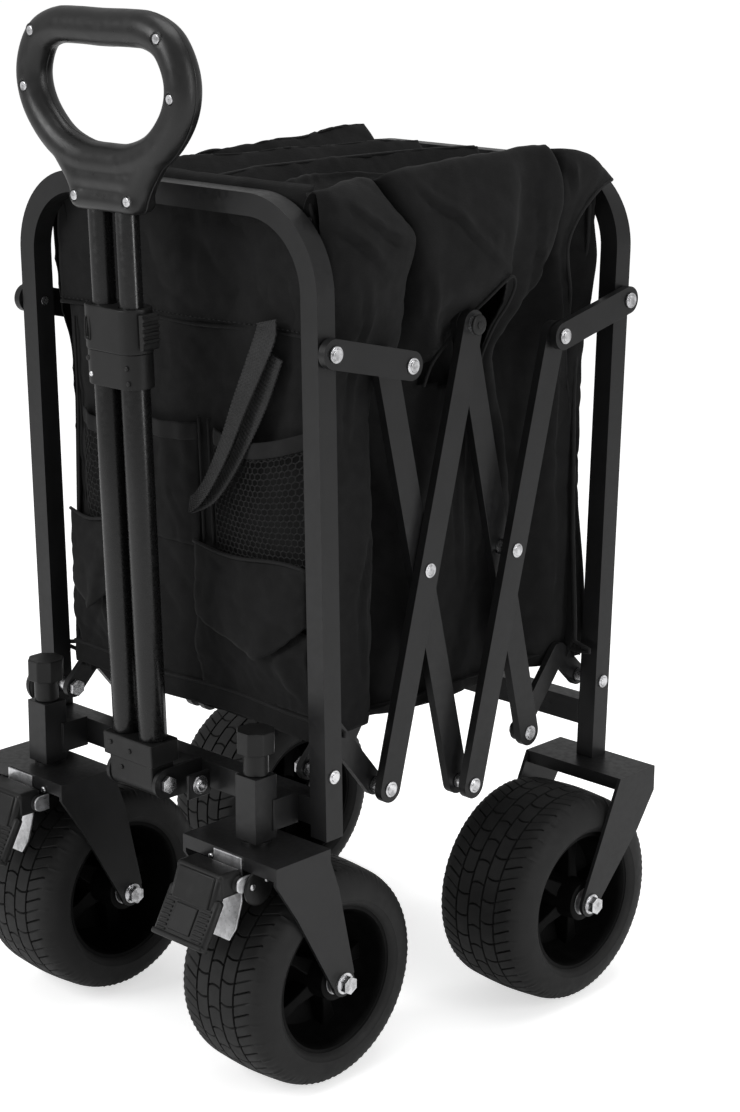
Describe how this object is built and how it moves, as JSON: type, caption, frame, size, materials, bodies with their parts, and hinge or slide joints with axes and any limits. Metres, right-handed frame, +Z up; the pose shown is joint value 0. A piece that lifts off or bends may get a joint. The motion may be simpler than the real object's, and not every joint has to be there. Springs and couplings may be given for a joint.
{
  "type": "folding camp wagon",
  "caption": "Folding camp wagon, stored folded: fabric bag in a scissor-linked tube frame with wide wheels, braked swivel casters and a telescoping pull handle.",
  "frame": {"origin": "on the ground under the centre of the folded wagon's box", "axes": "+Z up, -Y towards the pull handle and casters (front), +X to the right when looking along +Y"},
  "size_m": [0.499, 0.521, 0.9181],
  "materials": {
    "frame_paint": "satin black powder coat on steel",
    "grip_plastic": "semi-gloss moulded black plastic",
    "moulded_plastic": "matte moulded black plastic",
    "tyre_rubber": "matte black rubber with block tread",
    "bag_fabric": "black woven polyester with mesh pockets",
    "zinc_fasteners": "bright zinc plate",
    "bearing_steel": "plain steel",
    "brake_steel": "bright stamped steel"
  },
  "bodies": {
    "front_frame": {"front_frame": "frame_paint", "front_rail": "frame_paint", "caster_sockets": "frame_paint", "socket_caps": "moulded_plastic", "handle_bracket": "frame_paint", "frame_bolts_front": "zinc_fasteners", "bag_front": "bag_fabric"},
    "handle": {"handle_base": "moulded_plastic", "outer_tubes": "frame_paint", "lower_collar": "moulded_plastic", "upper_collar": "moulded_plastic"},
    "latch": {"latch_lever": "moulded_plastic"},
    "handle_upper": {"inner_tubes": "frame_paint", "grip_front": "grip_plastic", "grip_back": "grip_plastic", "grip_screws": "zinc_fasteners"},
    "rear_frame": {"rear_frame": "frame_paint", "rear_rail": "frame_paint", "rear_fork_left": "frame_paint", "rear_fork_right": "frame_paint", "rear_axles": "zinc_fasteners", "frame_bolts_rear": "zinc_fasteners", "bag_rear": "bag_fabric"},
    "swing_front": {"swing_links_front": "frame_paint"},
    "swing_rear": {"swing_links_rear": "frame_paint"},
    "upper_front": {"upper_links_front": "frame_paint", "link_pins_front": "zinc_fasteners"},
    "upper_rear": {"upper_links_rear": "frame_paint", "link_pins_rear": "zinc_fasteners"},
    "bars_1": {"bar_1_left": "frame_paint", "bar_1_right": "frame_paint"},
    "bars_2": {"bar_2_left": "frame_paint", "bar_2_right": "frame_paint", "cross_pins_front": "zinc_fasteners"},
    "bars_3": {"bar_3_left": "frame_paint", "bar_3_right": "frame_paint", "cross_pins_rear": "zinc_fasteners"},
    "bars_4": {"bar_4_left": "frame_paint", "bar_4_right": "frame_paint", "centre_spools": "zinc_fasteners"},
    "caster_left": {"caster_fork_left": "frame_paint", "caster_axle_left": "zinc_fasteners", "brake_plate_left": "brake_steel"},
    "brake_left": {"brake_pedal_left": "moulded_plastic"},
    "front_wheel_left": {"front_rim_left": "moulded_plastic", "front_tyre_left": "tyre_rubber", "front_bearings_left": "bearing_steel"},
    "rear_wheel_left": {"rear_rim_left": "moulded_plastic", "rear_tyre_left": "tyre_rubber", "rear_bearings_left": "bearing_steel"},
    "caster_right": {"caster_fork_right": "frame_paint", "caster_axle_right": "zinc_fasteners", "brake_plate_right": "brake_steel"},
    "brake_right": {"brake_pedal_right": "moulded_plastic"},
    "front_wheel_right": {"front_rim_right": "moulded_plastic", "front_tyre_right": "tyre_rubber", "front_bearings_right": "bearing_steel"},
    "rear_wheel_right": {"rear_rim_right": "moulded_plastic", "rear_tyre_right": "tyre_rubber", "rear_bearings_right": "bearing_steel"}
  },
  "joints": [
    {"name": "fold", "type": "slide", "parent": "front_frame", "child": "rear_frame", "axis": [0, 1, 0], "range_m": [0, 0.42]},
    {"name": "swing_front_pivot", "type": "hinge", "parent": "front_frame", "child": "swing_front", "pos_m": [0, -0.12699, 0.288], "axis": [1, 0, 0], "range_deg": [0, 83.86]},
    {"name": "swing_rear_pivot", "type": "hinge", "parent": "rear_frame", "child": "swing_rear", "pos_m": [0, 0.23599, 0.288], "axis": [1, 0, 0], "range_deg": [-83.86, 0]},
    {"name": "bar_2_foot", "type": "hinge", "parent": "swing_front", "child": "bars_2", "pos_m": [0, -0.04493, 0.252], "axis": [1, 0, 0], "range_deg": [-127.22, 0]},
    {"name": "bar_3_foot", "type": "hinge", "parent": "swing_rear", "child": "bars_3", "pos_m": [0, 0.15393, 0.252], "axis": [1, 0, 0], "range_deg": [0, 127.22]},
    {"name": "front_crossing", "type": "hinge", "parent": "bars_2", "child": "bars_1", "pos_m": [0, 0.00225, 0.4412], "axis": [1, 0, 0], "range_deg": [0, 87.33]},
    {"name": "rear_crossing", "type": "hinge", "parent": "bars_3", "child": "bars_4", "pos_m": [0, 0.10675, 0.4412], "axis": [1, 0, 0], "range_deg": [-87.33, 0]},
    {"name": "upper_front_pivot", "type": "hinge", "parent": "front_frame", "child": "upper_front", "pos_m": [0, -0.13652, 0.652], "axis": [1, 0, 0], "range_deg": [-41.63, 0]},
    {"name": "upper_rear_pivot", "type": "hinge", "parent": "rear_frame", "child": "upper_rear", "pos_m": [0, 0.24552, 0.652], "axis": [1, 0, 0], "range_deg": [0, 41.63]},
    {"name": "handle_tilt", "type": "hinge", "parent": "front_frame", "child": "handle", "pos_m": [0, -0.1775, 0.254], "axis": [1, 0, 0], "range_deg": [-3, 80]},
    {"name": "handle_slide", "type": "slide", "parent": "handle", "child": "handle_upper", "axis": [0, -0.0401, 0.9992], "range_m": [-0.07, 0.24]},
    {"name": "latch_press", "type": "hinge", "parent": "handle", "child": "latch", "pos_m": [0.0375, -0.19317, 0.64419], "axis": [0, 0.9992, 0.0401], "range_deg": [0, 12], "stiffness_Nm_per_rad": 0.3},
    {"name": "caster_swivel_left", "type": "hinge", "parent": "front_frame", "child": "caster_left", "pos_m": [-0.139, -0.1715, 0.26], "axis": [0, 0, 1], "continuous": true},
    {"name": "front_wheel_spin_left", "type": "hinge", "parent": "caster_left", "child": "front_wheel_left", "pos_m": [-0.139, -0.1225, 0.1], "axis": [1, 0, 0], "continuous": true},
    {"name": "brake_press_left", "type": "hinge", "parent": "caster_left", "child": "brake_left", "pos_m": [-0.139, -0.213, 0.209], "axis": [1, 0, 0], "range_deg": [0, 12], "stiffness_Nm_per_rad": 2},
    {"name": "rear_wheel_spin_left", "type": "hinge", "parent": "rear_frame", "child": "rear_wheel_left", "pos_m": [-0.184, 0.1605, 0.1], "axis": [1, 0, 0], "continuous": true},
    {"name": "caster_swivel_right", "type": "hinge", "parent": "front_frame", "child": "caster_right", "pos_m": [0.139, -0.1715, 0.26], "axis": [0, 0, 1], "continuous": true},
    {"name": "front_wheel_spin_right", "type": "hinge", "parent": "caster_right", "child": "front_wheel_right", "pos_m": [0.139, -0.1225, 0.1], "axis": [1, 0, 0], "continuous": true},
    {"name": "brake_press_right", "type": "hinge", "parent": "caster_right", "child": "brake_right", "pos_m": [0.139, -0.213, 0.209], "axis": [1, 0, 0], "range_deg": [0, 12], "stiffness_Nm_per_rad": 2},
    {"name": "rear_wheel_spin_right", "type": "hinge", "parent": "rear_frame", "child": "rear_wheel_right", "pos_m": [0.184, 0.1605, 0.1], "axis": [1, 0, 0], "continuous": true}
  ],
  "couplings": [
    {"joint": "swing_front_pivot", "follows": "fold", "rad_per_m": 3.4598},
    {"joint": "swing_rear_pivot", "follows": "fold", "rad_per_m": -3.4598},
    {"joint": "bar_2_foot", "follows": "fold", "rad_per_m": -5.2619},
    {"joint": "bar_3_foot", "follows": "fold", "rad_per_m": 5.2619},
    {"joint": "front_crossing", "follows": "fold", "rad_per_m": 3.6042},
    {"joint": "rear_crossing", "follows": "fold", "rad_per_m": -3.6042},
    {"joint": "upper_front_pivot", "follows": "fold", "rad_per_m": -1.705},
    {"joint": "upper_rear_pivot", "follows": "fold", "rad_per_m": 1.705}
  ]
}
